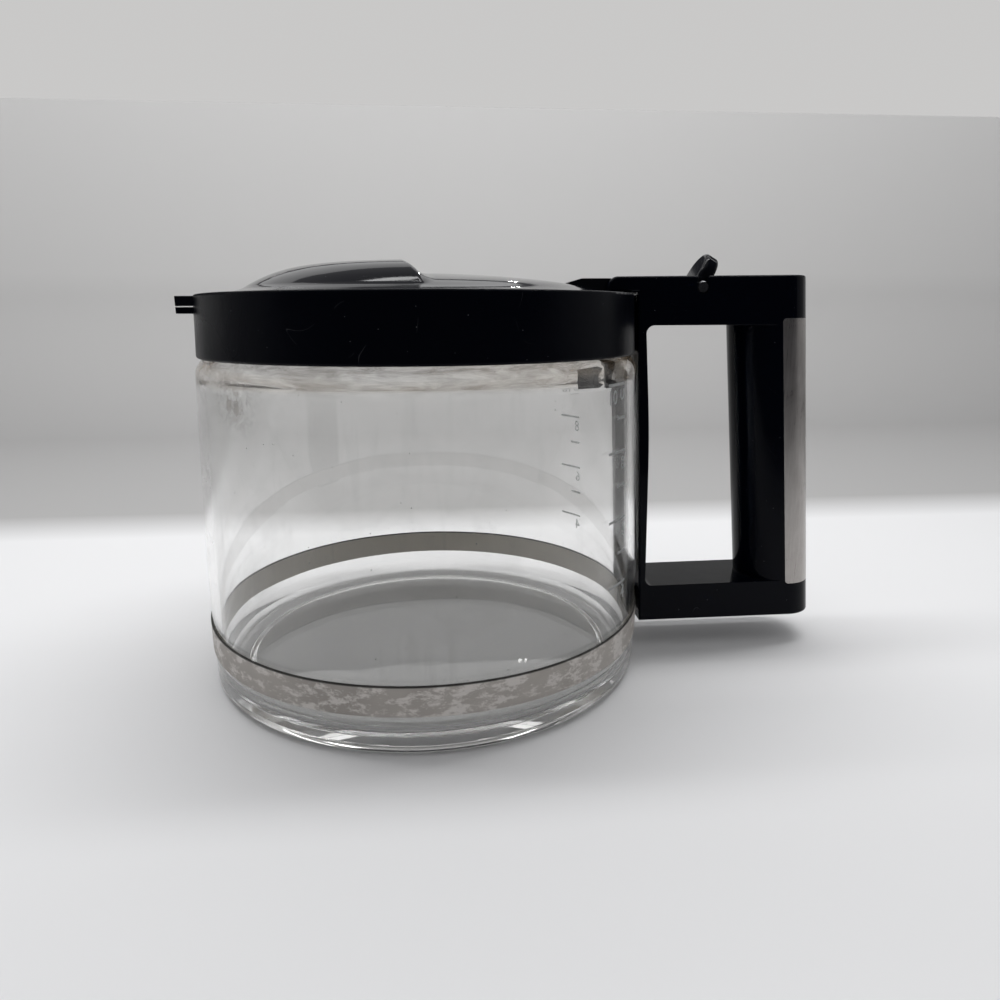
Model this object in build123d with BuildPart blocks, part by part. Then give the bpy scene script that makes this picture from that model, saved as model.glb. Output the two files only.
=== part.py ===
"""Ten-cup glass carafe of a drip coffee maker: jug, collar, strap, handle and hinged lid.

The origin is on the jug's axis, in the plane that the glass stands on. +Z is up and +X points
to the handle, so the pouring lip is at -X. All lengths are in millimetres.
"""

import os
from math import cos, hypot, radians, sin

from build123d import *

# --- driving dimensions -------------------------------------------------------------------

# glass
GLASS_FOOT_RADIUS = 71.2
GLASS_FOOT_HEIGHT = 38.0
GLASS_SHOULDER_RADIUS = 68.8
GLASS_WALL = 2.4
GLASS_FLOOR_TOP = 5.2
SHOULDER_WALL = 2.0
GLASS_HEEL_FILLET = 4.0
GLASS_INNER_HEEL_FILLET = 5.0
GLASS_WALL_BLEND = 300.0
PUNT_RADIUS = 59.3
PUNT_HEIGHT = 1.8
STANDING_RING_INNER = 61.5
PUNT_FILLET = 0.8
SHOULDER_HEIGHT = 101.0
SHOULDER_FILLET = 7.5
NECK_BASE_HEIGHT = 103.6
NECK_BASE_FILLET = 1.5
NECK_RADIUS = 64.3
RIM_HEIGHT = 115.5
RIM_FILLET = 1.1

# seal between the glass rim and the collar
SEAL_THICKNESS = 0.8
SEAL_SKIRT = 4.0

# collar
COLLAR_BOTTOM = 102.3
COLLAR_TOP = 120.2
COLLAR_BOTTOM_RADIUS = 68.2
COLLAR_TOP_RADIUS = 67.4
COLLAR_BORE_RADIUS = 65.2
COLLAR_MOUTH_RADIUS = 66.6
COLLAR_RIM_BORE_RADIUS = 65.0
COLLAR_EDGE = 0.7
COLLAR_MOUTH_CHAMFER = 2.0
COLLAR_RIM_BORE_EDGE = 0.5
COLLAR_INNER_EDGE = 0.3
FLANGE_INNER_RADIUS = 61.0
FLANGE_BOTTOM = 116.1
FLANGE_TOP = 118.0
TONGUE_REACH = 80.0
TONGUE_WIDTH = 10.0
TONGUE_BOTTOM = 113.6
TONGUE_TOP = 117.0
TONGUE_CLEARANCE = 0.15
TONGUE_END_CLEARANCE = 0.3

# pouring lip
LIP_RADIUS = 72.3
LIP_HALF_WIDTH = 20.5
LIP_WALL = 1.6
LIP_BOTTOM = 114.9
LIP_TOP = 119.8
LIP_SEAM_BOTTOM = 116.7
LIP_SEAM_TOP = 117.0
LIP_GAP = 0.4
LIP_INNER_RADIUS = 55.0
POUR_FLOOR = 116.1
POUR_CEILING = 118.8

# hooks of the collar inside the neck
HOOK_RADIUS = 61.4
HOOK_THICKNESS = 1.8
HOOK_BOTTOM = 93.0
HOOK_ANGLE = 13.0
HOOK_WIDTH = 14.0
HOOK_EDGE = 0.3
HOOK_CORNER = 1.0
BARB_RADIUS = 63.0
BARB_BOTTOM = 96.5
BARB_TOP = 99.5

# handle, drawn in the XZ plane
HANDLE_WIDTH = 24.0
GRIP_SLOPE = 0.101
ARM_TOP_INNER = 125.55
ARM_TOP_OUTER = 126.2
ARM_UNDERSIDE = 110.7
NOSE_REACH = 58.3
NOSE_UNDERSIDE = 120.9
NOSE_FILLET = 3.2
FOOT_BOTTOM = 10.6
FOOT_TOP_INNER = 23.4
FOOT_TOP_OUTER = 23.7
BACK_AT_TOP = 125.4
BACK_FILLET = 10.0
GRIP_FRONT_AT_TOP = 100.8
STRAP_BACK_TOP = 67.85
STRAP_BACK_BOTTOM = 72.7
STRAP_FRONT_TOP = 70.85
STRAP_FRONT_WAIST = (73.4, 76.0)
STRAP_FRONT_BOTTOM = 74.3
STRAP_FRONT_BLEND = 400.0
STRAP_CLEARANCE = 0.2
GAP_FILLET = 2.5
EDGE_FILLET = 0.8
GRIP_FRONT_FILLET = 11.95
NOSE_SIDE_FILLET = 1.0
CORNER_FILLET = 0.3
BAR_TOP = 130.0
LEVEL_TOLERANCE = 0.1

# hollows of the handle
GRIP_CORE_HALF_WIDTH = 8.0
GRIP_CORE_WALL = 6.0
GRIP_CORE_BOTTOM = 28.0
GRIP_CORE_TOP = 107.0
GRIP_CORE_CORNER = 2.0
FOOT_HOLLOW_START = 75.6
FOOT_HOLLOW_END = 120.0
FOOT_HOLLOW_TOP = 19.4
FOOT_HOLLOW_WIDTH = 17.0
FOOT_COVER_THICKNESS = 1.6
FOOT_COVER_GAP = 0.1

# steel trim of the grip
TRIM_THICKNESS = 1.0
TRIM_FRONT_AT_TOP = 114.0
TRIM_TOP = 112.7
TRIM_BOTTOM = 22.4
TRIM_CORNER = 1.2

# strap round the glass
BAND_INNER_RADIUS = 71.2
BAND_THICKNESS = 0.5
BAND_BOTTOM = 12.4
BAND_TOP = 21.2
TAB_REACH = 84.0
TAB_GAP = 2.0
TAB_BOTTOM = 13.0
TAB_TOP = 18.8
TAB_SLOT_HALF_WIDTH = 2.2

# machine screws and self-tapping screws
CLAMP_SCREW_X = 79.8
CLAMP_SCREW_Z = 15.9
CLAMP_SCREW_RADIUS = 1.5
CLAMP_HEAD_RADIUS = 2.75
CLAMP_HEAD_HEIGHT = 1.9
CLAMP_NUT_RADIUS = 2.9
CLAMP_NUT_HEIGHT = 2.2
CLAMP_HOLE_CLEARANCE = 0.1
CLAMP_SCREW_END = 6.6
TAPPING_SCREW_RADIUS = 1.25
TAPPING_HEAD_RADIUS = 2.6
TAPPING_HEAD_HEIGHT = 1.3
RECESS_WIDTH = 0.7
RECESS_DEPTH = 0.8
TAPPING_SCREW_SLACK = 0.15
HEAD_CLEARANCE = 0.1
RECESS_LENGTH = 3.4
COLLAR_SCREW_X = 76.0
COLLAR_SCREW_LENGTH = 5.8

# hinge
PIVOT_X = 88.7
PIVOT_Z = 122.3
PIN_RADIUS = 1.9
PIN_CLEARANCE = 0.05
PIN_LENGTH = 23.4
PIN_CHAMFER = 0.3
CHANNEL_HALF_WIDTH = 9.4
CHANNEL_FLOOR = 118.2
CHANNEL_END = 93.2
LEVER_POCKET_HALF_WIDTH = 7.0
LEVER_POCKET_END = 101.3
LEVER_POCKET_FLOOR = 119.2

# lid
LID_RADIUS = 64.6
LID_DISC_BOTTOM = 118.2
LID_DISC_TOP = 119.9
LID_WALL = 1.8
PLUG_RADIUS = 58.2
PLUG_WALL = 1.6
PLUG_BOTTOM = 112.0
POUR_WINDOW_HALF_WIDTH = 15.0
POUR_WINDOW_BOTTOM = 113.5
NOTCH_HALF_WIDTH = 12.6
NOTCH_REACH = 57.2
INLET_X = 15.0
INLET_RADIUS = 7.0
INLET_WALL = 1.6
INLET_BOTTOM = 104.0
INLET_TOP = 125.9
INLET_FLANGE_RADIUS = 11.5
INLET_FLANGE_HEIGHT = 1.3
INLET_GAP = 0.2
INLET_MOUTH_CHAMFER = 1.0
SCREW_BOSS_RADIUS = 3.4
LID_SCREW_PLACES = [(52.6, -5.5), (52.6, 5.5), (-38.0, -26.0), (-38.0, 26.0)]
LID_SCREW_LENGTH = 5.4

# lid arm and thumb lever
LID_ARM_WIDTH = 18.0
LID_ARM_TOP = 125.1
LID_ARM_START = 45.0
LID_ARM_RISE_END = 50.5
LID_ARM_START_TOP = 123.5
LID_ARM_RISE_FILLET = 4.0
LID_ARM_STEP_FILLET = 0.5
LID_ARM_UNDERSIDE = 120.8
LID_ARM_HUB_UNDERSIDE = 119.0
LID_ARM_STEP = 68.5
HUB_RADIUS = 3.3
LEVER_WIDTH = 13.0
LEVER_THICKNESS = 4.9
LEVER_LEAN = 30.0
LEVER_FOOT = (88.5, 126.0)
LEVER_HEIGHT = 8.6
LEVER_ROOT = 5.0
LEVER_EDGE = 1.2

# half profiles of the lid's two domes, as (radius, height) from the edge to the crown
LOW_DOME = [(64.0, 119.9), (58.0, 120.9), (50.0, 122.7), (40.0, 124.2), (24.0, 125.7), (0.0, 126.3)]
HIGH_DOME = [(57.0, 119.6), (53.0, 122.4), (47.0, 125.5), (39.0, 128.0), (27.0, 129.4), (0.0, 130.2)]
# the high dome ends behind the middle of the lid in this wave, as (x, height)
DOME_STEP = [(-7.2, 130.8), (-3.6, 128.8), (-0.7, 126.4), (2.8, 121.0)]
TROUGH_FILLET = 7.0
TROUGH_HEIGHTS = (124.0, 126.3)
CREST_FILLET = 1.5
CREST_HEIGHTS = (127.5, 130.1)

# reach of cuts that run clear of the part, and the overlap of shapes that are joined or cut
BIG = 200.0
OVERLAP = 1.0


def back_x(z):
    """X of the handle's outer back at height z."""
    return BACK_AT_TOP + (ARM_TOP_OUTER - z) * GRIP_SLOPE


def grip_front_x(z):
    """X of the grip's inner front at height z."""
    return GRIP_FRONT_AT_TOP + (ARM_TOP_OUTER - z) * GRIP_SLOPE


def trim_front_x(z):
    """X of the steel trim's front edge at height z."""
    return TRIM_FRONT_AT_TOP + (ARM_TOP_OUTER - z) * GRIP_SLOPE


def leaning_bar(front, back, half_width, front_fillet, back_fillet, bottom=0.0, top=BAR_TOP):
    """Upright bar that leans with the grip. front and back give its x at a height."""
    with BuildPart() as bar:
        with BuildSketch(Plane.XY.offset(bottom)):
            with BuildLine():
                FilletPolyline(
                    (front(bottom), -half_width),
                    (back(bottom), -half_width),
                    (back(bottom), half_width),
                    (front(bottom), half_width),
                    radius=[front_fillet, back_fillet, back_fillet, front_fillet],
                    close=True,
                )
            make_face()
        rise = top - bottom
        extrude(amount=rise * hypot(1, GRIP_SLOPE), dir=(-GRIP_SLOPE, 0, 1))
    return bar.part


def turned(points, radius=0.0):
    """Solid of revolution round the jug's axis, from (radius, height) corners."""
    with BuildPart() as body:
        with BuildSketch(Plane.XZ):
            with BuildLine():
                FilletPolyline(*points, radius=radius, close=True)
            make_face()
        revolve(axis=Axis.Z)
    return body.part


def ring(inner, outer, bottom, top):
    """Plain ring round the jug's axis."""
    with BuildPart() as body:
        with BuildSketch(Plane.XY.offset(bottom)):
            Circle(outer)
            Circle(inner, mode=Mode.SUBTRACT)
        extrude(amount=top - bottom)
    return body.part


def block(x_range, half_width, z_range):
    """Box from x to x and z to z, centred on the XZ plane."""
    with BuildPart() as body:
        with BuildSketch(Plane.XY.offset(z_range[0])):
            with Locations(((x_range[0] + x_range[1]) / 2, 0)):
                Rectangle(x_range[1] - x_range[0], 2 * half_width)
        extrude(amount=z_range[1] - z_range[0])
    return body.part


def dome(profile, drop=0.0):
    """Solid under a dome's half profile, lowered by drop, down to a plane inside the collar."""
    shifted = [(max(r - drop, 0.0), z - drop) for r, z in profile]
    floor = LID_DISC_TOP - 2 * LID_WALL
    with BuildPart() as body:
        with BuildSketch(Plane.XZ):
            with BuildLine():
                flank = (shifted[1][0] - shifted[0][0], shifted[1][1] - shifted[0][1])
                crown = Spline(*shifted, tangents=[flank, (-1, 0)])
                Polyline(crown @ 1, (0, floor), (shifted[0][0], floor), crown @ 0)
            make_face()
        revolve(axis=Axis.Z)
    return body.part


def lid_form(drop=0.0):
    """The lid's outer form, or its inner form when lowered by the wall's thickness."""
    step = [(x - drop / 2, z - drop) for x, z in DOME_STEP]
    with BuildPart() as form:
        add(dome(HIGH_DOME, drop))
        with BuildSketch(Plane.XZ):
            with BuildLine():
                wave = Spline(*step, tangents=[(1, 0), (1, -2)])
                Polyline(wave @ 1, (step[-1][0], 0), (-BIG, 0), (-BIG, step[0][1]), wave @ 0)
            make_face()
        extrude(amount=BIG, both=True, mode=Mode.INTERSECT)
        add(dome(LOW_DOME, drop))
        with BuildSketch(Plane.XY.offset(LID_DISC_TOP)):
            Circle(BIG)
        extrude(amount=BIG, mode=Mode.INTERSECT)
    return form.part


os.makedirs("parts", exist_ok=True)


# --- jug ----------------------------------------------------------------------------------

with BuildPart() as glass_jug:
    with BuildSketch(Plane.XZ):
        with BuildLine():
            wall = FilletPolyline(
                (0, PUNT_HEIGHT),
                (PUNT_RADIUS, PUNT_HEIGHT),
                (STANDING_RING_INNER, 0),
                (GLASS_FOOT_RADIUS, 0),
                (GLASS_FOOT_RADIUS, GLASS_FOOT_HEIGHT),
                (GLASS_SHOULDER_RADIUS, SHOULDER_HEIGHT),
                (NECK_RADIUS, NECK_BASE_HEIGHT),
                (NECK_RADIUS, RIM_HEIGHT),
                (NECK_RADIUS - GLASS_WALL, RIM_HEIGHT),
                (NECK_RADIUS - GLASS_WALL, NECK_BASE_HEIGHT - SHOULDER_WALL),
                (GLASS_SHOULDER_RADIUS - GLASS_WALL, SHOULDER_HEIGHT - SHOULDER_WALL),
                (GLASS_FOOT_RADIUS - GLASS_WALL, GLASS_FOOT_HEIGHT),
                (GLASS_FOOT_RADIUS - GLASS_WALL, GLASS_FLOOR_TOP),
                (0, GLASS_FLOOR_TOP),
                radius=[
                    PUNT_FILLET,
                    PUNT_FILLET,
                    GLASS_HEEL_FILLET,
                    GLASS_WALL_BLEND,
                    SHOULDER_FILLET,
                    NECK_BASE_FILLET,
                    RIM_FILLET,
                    RIM_FILLET,
                    NECK_BASE_FILLET,
                    SHOULDER_FILLET - GLASS_WALL,
                    GLASS_WALL_BLEND,
                    GLASS_INNER_HEEL_FILLET,
                ],
            )
            Line(wall @ 1, wall @ 0)
        make_face()
    revolve(axis=Axis.Z)
glass_jug.part.label = "glass_jug"
export_step(glass_jug.part, "parts/glass_jug.step")

with BuildPart() as neck_seal:
    add(
        turned(
            [
                (NECK_RADIUS - GLASS_WALL, RIM_HEIGHT),
                (NECK_RADIUS, RIM_HEIGHT),
                (NECK_RADIUS, RIM_HEIGHT - SEAL_SKIRT),
                (NECK_RADIUS + SEAL_THICKNESS, RIM_HEIGHT - SEAL_SKIRT),
                (NECK_RADIUS + SEAL_THICKNESS, POUR_FLOOR),
                (NECK_RADIUS - GLASS_WALL, POUR_FLOOR),
            ]
        )
    )
neck_seal.part.label = "neck_seal"
export_step(neck_seal.part, "parts/neck_seal.step")


# --- collar -------------------------------------------------------------------------------

with BuildPart() as hooks:
    add(
        turned(
            [
                (HOOK_RADIUS - HOOK_THICKNESS, HOOK_BOTTOM),
                (HOOK_RADIUS, HOOK_BOTTOM),
                (BARB_RADIUS, BARB_BOTTOM),
                (HOOK_RADIUS, BARB_TOP),
                (HOOK_RADIUS, FLANGE_TOP),
                (HOOK_RADIUS - HOOK_THICKNESS, FLANGE_TOP),
            ],
            radius=HOOK_EDGE,
        )
    )
    with BuildSketch(Plane.XY.offset(HOOK_BOTTOM)):
        with PolarLocations(HOOK_RADIUS, 2, -HOOK_ANGLE, 2 * HOOK_ANGLE, endpoint=True):
            RectangleRounded(2 * HOOK_WIDTH, HOOK_WIDTH, HOOK_CORNER)
    extrude(amount=FLANGE_TOP - HOOK_BOTTOM, mode=Mode.INTERSECT)

with BuildPart() as collar_ring:
    add(
        turned(
            [
                (COLLAR_MOUTH_RADIUS, COLLAR_BOTTOM),
                (COLLAR_BOTTOM_RADIUS, COLLAR_BOTTOM),
                (COLLAR_TOP_RADIUS, COLLAR_TOP),
                (COLLAR_RIM_BORE_RADIUS, COLLAR_TOP),
                (COLLAR_RIM_BORE_RADIUS, FLANGE_TOP),
                (FLANGE_INNER_RADIUS, FLANGE_TOP),
                (FLANGE_INNER_RADIUS, FLANGE_BOTTOM),
                (COLLAR_BORE_RADIUS, FLANGE_BOTTOM),
                (COLLAR_BORE_RADIUS, COLLAR_BOTTOM + COLLAR_MOUTH_CHAMFER),
            ],
            radius=[
                COLLAR_INNER_EDGE,
                COLLAR_EDGE,
                COLLAR_EDGE,
                COLLAR_RIM_BORE_EDGE,
                0,
                COLLAR_INNER_EDGE,
                COLLAR_INNER_EDGE,
                0,
                0,
            ],
        )
    )
    # tongue that the handle's arm is screwed to
    tongue = (COLLAR_BORE_RADIUS + OVERLAP, TONGUE_REACH)
    add(block(tongue, TONGUE_WIDTH / 2, (TONGUE_BOTTOM, TONGUE_TOP)))
    # lower half of the pouring lip
    with BuildSketch(Plane.XY.offset(LIP_BOTTOM)):
        Circle(LIP_RADIUS)
        Circle(COLLAR_BORE_RADIUS + OVERLAP, mode=Mode.SUBTRACT)
        with Locations((-LIP_RADIUS, 0)):
            Rectangle(LIP_RADIUS, 2 * LIP_HALF_WIDTH, mode=Mode.INTERSECT)
    extrude(amount=LIP_SEAM_BOTTOM - LIP_BOTTOM)
    # opening in the rim that the lid's half of the lip lies in
    with BuildSketch(Plane.XY.offset(LIP_SEAM_BOTTOM)):
        with Locations((-LIP_RADIUS, 0)):
            Rectangle(2 * (LIP_RADIUS - LIP_INNER_RADIUS), 2 * (LIP_HALF_WIDTH + LIP_GAP))
    extrude(amount=COLLAR_TOP, mode=Mode.SUBTRACT)
    # channel that the coffee runs through
    with BuildSketch(Plane.XY.offset(POUR_FLOOR)):
        with Locations((-LIP_RADIUS, 0)):
            Rectangle(2 * (LIP_RADIUS - LIP_INNER_RADIUS), 2 * (LIP_HALF_WIDTH - LIP_WALL))
    extrude(amount=COLLAR_TOP, mode=Mode.SUBTRACT)
    add(hooks.part)
    with Locations((COLLAR_SCREW_X, 0, TONGUE_BOTTOM)):
        Cylinder(TAPPING_SCREW_RADIUS, BIG, mode=Mode.SUBTRACT)
collar_ring.part.label = "collar_ring"
export_step(collar_ring.part, "parts/collar_ring.step")


# --- handle -------------------------------------------------------------------------------

def tapping_screw(places, head_bottom, length):
    """Pan-head screws that point up, from the underside of their heads' height."""
    shank_bottom = head_bottom + TAPPING_HEAD_HEIGHT
    with BuildPart() as screws:
        with BuildSketch(Plane.XY.offset(head_bottom)):
            with Locations(*places):
                Circle(TAPPING_HEAD_RADIUS)
        extrude(amount=TAPPING_HEAD_HEIGHT)
        with BuildSketch(Plane.XY.offset(shank_bottom)):
            with Locations(*places):
                Circle(TAPPING_SCREW_RADIUS)
        extrude(amount=length)
        with BuildSketch(Plane.XY.offset(head_bottom)):
            with Locations(*places):
                Rectangle(RECESS_LENGTH, RECESS_WIDTH)
                Rectangle(RECESS_WIDTH, RECESS_LENGTH)
        extrude(amount=RECESS_DEPTH, mode=Mode.SUBTRACT)
    return screws.part


with BuildPart() as trim_form:
    add(leaning_bar(grip_front_x, back_x, HANDLE_WIDTH / 2, TRIM_CORNER, BACK_FILLET))
    add(
        leaning_bar(
            lambda z: grip_front_x(z) - OVERLAP,
            lambda z: back_x(z) - TRIM_THICKNESS,
            HANDLE_WIDTH / 2 - TRIM_THICKNESS,
            TRIM_CORNER,
            BACK_FILLET - TRIM_THICKNESS,
        ),
        mode=Mode.SUBTRACT,
    )
    with BuildSketch(Plane.XZ):
        with BuildLine():
            FilletPolyline(
                (trim_front_x(TRIM_TOP), TRIM_TOP),
                (BIG, TRIM_TOP),
                (BIG, TRIM_BOTTOM),
                (trim_front_x(TRIM_BOTTOM), TRIM_BOTTOM),
                radius=[TRIM_CORNER, 0, 0, TRIM_CORNER],
                close=True,
            )
        make_face()
    extrude(amount=HANDLE_WIDTH, both=True, mode=Mode.INTERSECT)

with BuildPart() as finger_gap:
    with BuildSketch(Plane.XZ):
        with BuildLine():
            FilletPolyline(
                (STRAP_FRONT_TOP, ARM_UNDERSIDE),
                (BIG, ARM_UNDERSIDE),
                (BIG, FOOT_TOP_OUTER),
                (back_x(FOOT_TOP_OUTER), FOOT_TOP_OUTER),
                (STRAP_FRONT_BOTTOM, FOOT_TOP_INNER),
                STRAP_FRONT_WAIST,
                radius=[GAP_FILLET, 0, 0, 0, GAP_FILLET, STRAP_FRONT_BLEND],
                close=True,
            )
        make_face()
    extrude(amount=HANDLE_WIDTH, both=True)
    add(
        leaning_bar(grip_front_x, lambda z: BIG, HANDLE_WIDTH / 2, GRIP_FRONT_FILLET, BACK_FILLET),
        mode=Mode.SUBTRACT,
    )

with BuildPart() as handle_frame:
    with BuildSketch(Plane.XZ):
        with BuildLine():
            FilletPolyline(
                (NOSE_REACH, NOSE_UNDERSIDE),
                (NOSE_REACH, ARM_TOP_INNER),
                (back_x(FOOT_BOTTOM), ARM_TOP_OUTER),
                (back_x(FOOT_BOTTOM), FOOT_BOTTOM),
                (STRAP_BACK_BOTTOM, FOOT_BOTTOM),
                (STRAP_BACK_TOP, NOSE_UNDERSIDE),
                radius=[CORNER_FILLET, NOSE_FILLET, 0, 0, CORNER_FILLET, 0],
                close=True,
            )
        make_face()
    extrude(amount=HANDLE_WIDTH / 2, both=True)
    add(
        leaning_bar(
            lambda z: NOSE_REACH - BACK_FILLET,
            back_x,
            HANDLE_WIDTH / 2,
            NOSE_SIDE_FILLET,
            BACK_FILLET,
        ),
        mode=Mode.INTERSECT,
    )
    foot_level = (FOOT_BOTTOM - LEVEL_TOLERANCE, FOOT_BOTTOM + LEVEL_TOLERANCE)
    for low, high in ((ARM_TOP_INNER, ARM_TOP_OUTER), foot_level):
        level = handle_frame.edges().filter_by_position(Axis.Z, low, high).group_by(Axis.Y)
        fillet(level[0] + level[-1], EDGE_FILLET)
    add(finger_gap.part, mode=Mode.SUBTRACT)
    add(trim_form.part, mode=Mode.SUBTRACT)
    # relief that keeps the strap off the glass
    add(
        turned(
            [
                (0, 0),
                (GLASS_FOOT_RADIUS + STRAP_CLEARANCE, 0),
                (GLASS_FOOT_RADIUS + STRAP_CLEARANCE, GLASS_FOOT_HEIGHT),
                (GLASS_SHOULDER_RADIUS + STRAP_CLEARANCE, SHOULDER_HEIGHT),
                (0, SHOULDER_HEIGHT),
            ]
        ),
        mode=Mode.SUBTRACT,
    )
    # hollow behind the trim
    add(
        leaning_bar(
            lambda z: grip_front_x(z) + GRIP_CORE_WALL,
            lambda z: back_x(z) + OVERLAP,
            GRIP_CORE_HALF_WIDTH,
            GRIP_CORE_CORNER,
            GRIP_CORE_CORNER,
            GRIP_CORE_BOTTOM,
            GRIP_CORE_TOP,
        ),
        mode=Mode.SUBTRACT,
    )
    # hollow of the foot, with the slot that the strap's ends come through
    foot_hollow = (FOOT_HOLLOW_START, FOOT_HOLLOW_END)
    add(
        block(foot_hollow, FOOT_HOLLOW_WIDTH / 2, (FOOT_BOTTOM, FOOT_HOLLOW_TOP)),
        mode=Mode.SUBTRACT,
    )
    tab_slot = (STRAP_BACK_TOP, FOOT_HOLLOW_END)
    add(block(tab_slot, TAB_SLOT_HALF_WIDTH, (BAND_BOTTOM, FOOT_HOLLOW_TOP)), mode=Mode.SUBTRACT)
    # channel for the lid's arm, and the pocket that the thumb lever swings into
    add(
        block((NOSE_REACH - OVERLAP, CHANNEL_END), CHANNEL_HALF_WIDTH, (CHANNEL_FLOOR, BIG)),
        mode=Mode.SUBTRACT,
    )
    lever_pocket = (CHANNEL_END - OVERLAP, LEVER_POCKET_END)
    add(
        block(lever_pocket, LEVER_POCKET_HALF_WIDTH, (LEVER_POCKET_FLOOR, BIG)),
        mode=Mode.SUBTRACT,
    )
    # open slots for the hinge pin
    with BuildSketch(Plane.XZ):
        with Locations((PIVOT_X, PIVOT_Z)):
            Circle(PIN_RADIUS + PIN_CLEARANCE)
        with Locations((PIVOT_X, PIVOT_Z + BIG / 2)):
            Rectangle(2 * (PIN_RADIUS + PIN_CLEARANCE), BIG)
    extrude(amount=HANDLE_WIDTH, both=True, mode=Mode.SUBTRACT)
    # pocket for the collar's tongue, and its screw hole
    add(
        block(
            (STRAP_BACK_TOP - OVERLAP, TONGUE_REACH + TONGUE_END_CLEARANCE),
            TONGUE_WIDTH / 2 + TONGUE_CLEARANCE,
            (TONGUE_BOTTOM - TONGUE_CLEARANCE, TONGUE_TOP + TONGUE_CLEARANCE),
        ),
        mode=Mode.SUBTRACT,
    )
    with Locations((COLLAR_SCREW_X, 0, ARM_UNDERSIDE)):
        Cylinder(TAPPING_HEAD_RADIUS + HEAD_CLEARANCE, 2 * TAPPING_HEAD_HEIGHT, mode=Mode.SUBTRACT)
        Cylinder(TAPPING_SCREW_RADIUS + TAPPING_SCREW_SLACK, COLLAR_SCREW_LENGTH, mode=Mode.SUBTRACT)
handle_frame.part.label = "handle_frame"
export_step(handle_frame.part, "parts/handle_frame.step")

with BuildPart() as grip_trim:
    add(trim_form.part)
grip_trim.part.label = "grip_trim"
export_step(grip_trim.part, "parts/grip_trim.step")

with BuildPart() as collar_screw:
    add(tapping_screw([(COLLAR_SCREW_X, 0)], ARM_UNDERSIDE, COLLAR_SCREW_LENGTH - TAPPING_HEAD_HEIGHT))
collar_screw.part.label = "collar_screw"
export_step(collar_screw.part, "parts/collar_screw.step")

with BuildPart() as foot_cover:
    add(
        block(
            (FOOT_HOLLOW_START + FOOT_COVER_GAP, FOOT_HOLLOW_END - FOOT_COVER_GAP),
            FOOT_HOLLOW_WIDTH / 2 - FOOT_COVER_GAP,
            (FOOT_BOTTOM, FOOT_BOTTOM + FOOT_COVER_THICKNESS),
        )
    )
foot_cover.part.label = "foot_cover"
export_step(foot_cover.part, "parts/foot_cover.step")


# --- strap --------------------------------------------------------------------------------

tab_centres = [(0, side * (TAB_GAP + BAND_THICKNESS) / 2) for side in (-1, 1)]
with BuildPart() as base_band:
    with BuildSketch(Plane.XY.offset(BAND_BOTTOM)):
        Circle(BAND_INNER_RADIUS + BAND_THICKNESS)
        Circle(BAND_INNER_RADIUS, mode=Mode.SUBTRACT)
        with Locations((BAND_INNER_RADIUS, 0)):
            Rectangle(TAB_REACH - BAND_INNER_RADIUS, TAB_GAP, mode=Mode.SUBTRACT)
    extrude(amount=BAND_TOP - BAND_BOTTOM)
    with BuildSketch(Plane.XY.offset(TAB_BOTTOM)):
        tab_length = TAB_REACH - BAND_INNER_RADIUS
        with Locations(*[(BAND_INNER_RADIUS + tab_length / 2, y) for _, y in tab_centres]):
            Rectangle(tab_length, BAND_THICKNESS)
    extrude(amount=TAB_TOP - TAB_BOTTOM)
    with BuildSketch(Plane.XZ):
        with Locations((CLAMP_SCREW_X, CLAMP_SCREW_Z)):
            Circle(CLAMP_SCREW_RADIUS + CLAMP_HOLE_CLEARANCE)
    extrude(amount=HANDLE_WIDTH, both=True, mode=Mode.SUBTRACT)
base_band.part.label = "base_band"
export_step(base_band.part, "parts/base_band.step")

clamp_face = TAB_GAP / 2 + BAND_THICKNESS
with BuildPart() as band_clamp_screw:
    with BuildSketch(Plane.XZ.offset(clamp_face)):
        with Locations((CLAMP_SCREW_X, CLAMP_SCREW_Z)):
            Circle(CLAMP_HEAD_RADIUS)
    extrude(amount=CLAMP_HEAD_HEIGHT)
    with BuildSketch(Plane.XZ.offset(clamp_face)):
        with Locations((CLAMP_SCREW_X, CLAMP_SCREW_Z)):
            Circle(CLAMP_SCREW_RADIUS)
    extrude(amount=-(clamp_face + CLAMP_SCREW_END))
    with BuildSketch(Plane.XZ.offset(clamp_face + CLAMP_HEAD_HEIGHT)):
        with Locations((CLAMP_SCREW_X, CLAMP_SCREW_Z)):
            Rectangle(2 * CLAMP_HEAD_RADIUS, RECESS_WIDTH)
    extrude(amount=-RECESS_DEPTH, mode=Mode.SUBTRACT)
band_clamp_screw.part.label = "band_clamp_screw"
export_step(band_clamp_screw.part, "parts/band_clamp_screw.step")

with BuildPart() as band_clamp_nut:
    with BuildSketch(Plane.XZ.offset(-clamp_face)):
        with Locations((CLAMP_SCREW_X, CLAMP_SCREW_Z)):
            RegularPolygon(CLAMP_NUT_RADIUS, 6)
            Circle(CLAMP_SCREW_RADIUS, mode=Mode.SUBTRACT)
    extrude(amount=-CLAMP_NUT_HEIGHT)
band_clamp_nut.part.label = "band_clamp_nut"
export_step(band_clamp_nut.part, "parts/band_clamp_nut.step")


# --- hinge --------------------------------------------------------------------------------

with BuildPart() as hinge_pin:
    with BuildSketch(Plane.XZ):
        with Locations((PIVOT_X, PIVOT_Z)):
            Circle(PIN_RADIUS)
    extrude(amount=PIN_LENGTH / 2, both=True)
    chamfer(hinge_pin.edges().filter_by(GeomType.CIRCLE), PIN_CHAMFER)
hinge_pin.part.label = "hinge_pin"
export_step(hinge_pin.part, "parts/hinge_pin.step")


# --- lid ----------------------------------------------------------------------------------

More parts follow.
